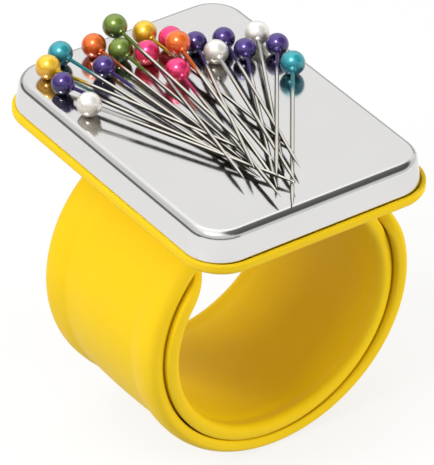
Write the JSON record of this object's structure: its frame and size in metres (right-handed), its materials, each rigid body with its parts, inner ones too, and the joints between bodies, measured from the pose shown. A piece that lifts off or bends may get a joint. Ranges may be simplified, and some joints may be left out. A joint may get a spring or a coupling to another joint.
{
  "type": "wrist pin cushion",
  "caption": "Magnetic wrist pin cushion: a rounded steel lid over magnets in a silicone tray, held on the wrist by a coiled slap band, with pearl-headed pins lying on the lid.",
  "frame": {"origin": "centre of the closed coil, which is the middle of the wrist, half-way along the band's width", "axes": "+Y along the wrist and across the band, +Z out through the lid's working face, +X across the lid"},
  "size_m": [0.048, 0.0568, 0.0606],
  "materials": {
    "silicone": "matte sunflower-yellow silicone",
    "spring_strip": "plain spring steel",
    "lid_steel": "bright, nearly mirror-polished",
    "backing_steel": "plain sheet",
    "magnet": "matt black ferrite",
    "holder": "plain dark plastic",
    "pin_steel": "polished",
    "pearl_white": "pearlescent",
    "pearl_yellow": "pearlescent",
    "pearl_orange": "pearlescent",
    "pearl_pink": "pearlescent",
    "pearl_purple": "pearlescent",
    "pearl_turquoise": "pearlescent",
    "pearl_green": "pearlescent"
  },
  "bodies": {
    "cushion": {"tray": "silicone", "spring_root_left": "spring_strip", "spring_root_right": "spring_strip", "lid": "lid_steel", "backing_plate": "backing_steel", "magnet_near": "magnet", "magnet_far": "magnet", "magnet_holder": "holder"},
    "outer_link_1": {"outer_band_1": "silicone", "outer_spring_1": "spring_strip"},
    "outer_link_2": {"outer_band_2": "silicone", "outer_spring_2": "spring_strip"},
    "outer_link_3": {"outer_band_3": "silicone", "outer_spring_3": "spring_strip"},
    "outer_link_4": {"outer_band_4": "silicone", "outer_spring_4": "spring_strip"},
    "outer_link_5": {"outer_band_5": "silicone", "outer_spring_5": "spring_strip"},
    "outer_link_6": {"outer_band_6": "silicone", "outer_spring_6": "spring_strip"},
    "outer_link_7": {"outer_band_7": "silicone", "outer_spring_7": "spring_strip"},
    "outer_link_8": {"outer_band_8": "silicone", "outer_spring_8": "spring_strip"},
    "inner_link_1": {"inner_band_1": "silicone", "inner_spring_1": "spring_strip"},
    "inner_link_2": {"inner_band_2": "silicone", "inner_spring_2": "spring_strip"},
    "inner_link_3": {"inner_band_3": "silicone", "inner_spring_3": "spring_strip"},
    "inner_link_4": {"inner_band_4": "silicone", "inner_spring_4": "spring_strip"},
    "inner_link_5": {"inner_band_5": "silicone", "inner_spring_5": "spring_strip"},
    "inner_link_6": {"inner_band_6": "silicone", "inner_spring_6": "spring_strip"},
    "inner_link_7": {"inner_band_7": "silicone", "inner_spring_7": "spring_strip"},
    "inner_link_8": {"inner_band_8": "silicone", "inner_spring_8": "spring_strip"},
    "pins": {"pin_shafts": "pin_steel", "pearl_heads_white": "pearl_white", "pearl_heads_yellow": "pearl_yellow", "pearl_heads_orange": "pearl_orange", "pearl_heads_pink": "pearl_pink", "pearl_heads_purple": "pearl_purple", "pearl_heads_turquoise": "pearl_turquoise", "pearl_heads_green": "pearl_green"}
  },
  "joints": [
    {"name": "outer_uncurl_1", "type": "hinge", "parent": "cushion", "child": "outer_link_1", "pos_m": [-0.00821, 0, 0.02255], "axis": [0, 1, 0], "range_deg": [0, 35.5], "stiffness_Nm_per_rad": 0.05},
    {"name": "outer_uncurl_2", "type": "hinge", "parent": "outer_link_1", "child": "outer_link_2", "pos_m": [-0.01978, 0, 0.01359], "axis": [0, 1, 0], "range_deg": [0, 35.6], "stiffness_Nm_per_rad": 0.05},
    {"name": "outer_uncurl_3", "type": "hinge", "parent": "outer_link_2", "child": "outer_link_3", "pos_m": [-0.024, 0, -0.00042], "axis": [0, 1, 0], "range_deg": [0, 35.6], "stiffness_Nm_per_rad": 0.05},
    {"name": "outer_uncurl_4", "type": "hinge", "parent": "outer_link_3", "child": "outer_link_4", "pos_m": [-0.01929, 0, -0.01428], "axis": [0, 1, 0], "range_deg": [0, 35.6], "stiffness_Nm_per_rad": 0.05},
    {"name": "outer_uncurl_5", "type": "hinge", "parent": "outer_link_4", "child": "outer_link_5", "pos_m": [-0.00742, 0, -0.02283], "axis": [0, 1, 0], "range_deg": [0, 35.6], "stiffness_Nm_per_rad": 0.05},
    {"name": "outer_uncurl_6", "type": "hinge", "parent": "outer_link_5", "child": "outer_link_6", "pos_m": [0.00722, 0, -0.02289], "axis": [0, 1, 0], "range_deg": [0, 35.6], "stiffness_Nm_per_rad": 0.05},
    {"name": "outer_uncurl_7", "type": "hinge", "parent": "outer_link_6", "child": "outer_link_7", "pos_m": [0.01917, 0, -0.01444], "axis": [0, 1, 0], "range_deg": [0, 35.6], "stiffness_Nm_per_rad": 0.05},
    {"name": "outer_uncurl_8", "type": "hinge", "parent": "outer_link_7", "child": "outer_link_8", "pos_m": [0.02399, 0, -0.00063], "axis": [0, 1, 0], "range_deg": [0, 35.6], "stiffness_Nm_per_rad": 0.05},
    {"name": "inner_uncurl_1", "type": "hinge", "parent": "cushion", "child": "inner_link_1", "pos_m": [0.00732, 0, 0.02011], "axis": [0, -1, 0], "range_deg": [0, 37.35], "stiffness_Nm_per_rad": 0.05},
    {"name": "inner_uncurl_2", "type": "hinge", "parent": "inner_link_1", "child": "inner_link_2", "pos_m": [0.018, 0, 0.01158], "axis": [0, -1, 0], "range_deg": [0, 37.35], "stiffness_Nm_per_rad": 0.05},
    {"name": "inner_uncurl_3", "type": "hinge", "parent": "inner_link_2", "child": "inner_link_3", "pos_m": [0.02133, 0, -0.00168], "axis": [0, -1, 0], "range_deg": [0, 37.35], "stiffness_Nm_per_rad": 0.05},
    {"name": "inner_uncurl_4", "type": "hinge", "parent": "inner_link_3", "child": "inner_link_4", "pos_m": [0.01597, 0, -0.01425], "axis": [0, -1, 0], "range_deg": [0, 37.35], "stiffness_Nm_per_rad": 0.05},
    {"name": "inner_uncurl_5", "type": "hinge", "parent": "inner_link_4", "child": "inner_link_5", "pos_m": [0.00408, 0, -0.02101], "axis": [0, -1, 0], "range_deg": [0, 37.35], "stiffness_Nm_per_rad": 0.05},
    {"name": "inner_uncurl_6", "type": "hinge", "parent": "inner_link_5", "child": "inner_link_6", "pos_m": [-0.00946, 0, -0.01919], "axis": [0, -1, 0], "range_deg": [0, 37.35], "stiffness_Nm_per_rad": 0.05},
    {"name": "inner_uncurl_7", "type": "hinge", "parent": "inner_link_6", "child": "inner_link_7", "pos_m": [-0.01915, 0, -0.00955], "axis": [0, -1, 0], "range_deg": [0, 37.35], "stiffness_Nm_per_rad": 0.05},
    {"name": "inner_uncurl_8", "type": "hinge", "parent": "inner_link_7", "child": "inner_link_8", "pos_m": [-0.02102, 0, 0.00399], "axis": [0, -1, 0], "range_deg": [0, 37.35], "stiffness_Nm_per_rad": 0.05},
    {"name": "pins_lift", "type": "slide", "parent": "cushion", "child": "pins", "axis": [0, 0, 1], "range_m": [0, 0.03]}
  ],
  "couplings": [
    {"joint": "outer_uncurl_2", "follows": "outer_uncurl_1", "ratio": 1},
    {"joint": "outer_uncurl_3", "follows": "outer_uncurl_1", "ratio": 1},
    {"joint": "outer_uncurl_4", "follows": "outer_uncurl_1", "ratio": 1},
    {"joint": "outer_uncurl_5", "follows": "outer_uncurl_1", "ratio": 1},
    {"joint": "outer_uncurl_6", "follows": "outer_uncurl_1", "ratio": 1},
    {"joint": "outer_uncurl_7", "follows": "outer_uncurl_1", "ratio": 1},
    {"joint": "outer_uncurl_8", "follows": "outer_uncurl_1", "ratio": 1},
    {"joint": "inner_uncurl_1", "follows": "outer_uncurl_1", "ratio": 1.0493},
    {"joint": "inner_uncurl_2", "follows": "outer_uncurl_1", "ratio": 1.0493},
    {"joint": "inner_uncurl_3", "follows": "outer_uncurl_1", "ratio": 1.0493},
    {"joint": "inner_uncurl_4", "follows": "outer_uncurl_1", "ratio": 1.0493},
    {"joint": "inner_uncurl_5", "follows": "outer_uncurl_1", "ratio": 1.0493},
    {"joint": "inner_uncurl_6", "follows": "outer_uncurl_1", "ratio": 1.0493},
    {"joint": "inner_uncurl_7", "follows": "outer_uncurl_1", "ratio": 1.0493},
    {"joint": "inner_uncurl_8", "follows": "outer_uncurl_1", "ratio": 1.0493}
  ]
}
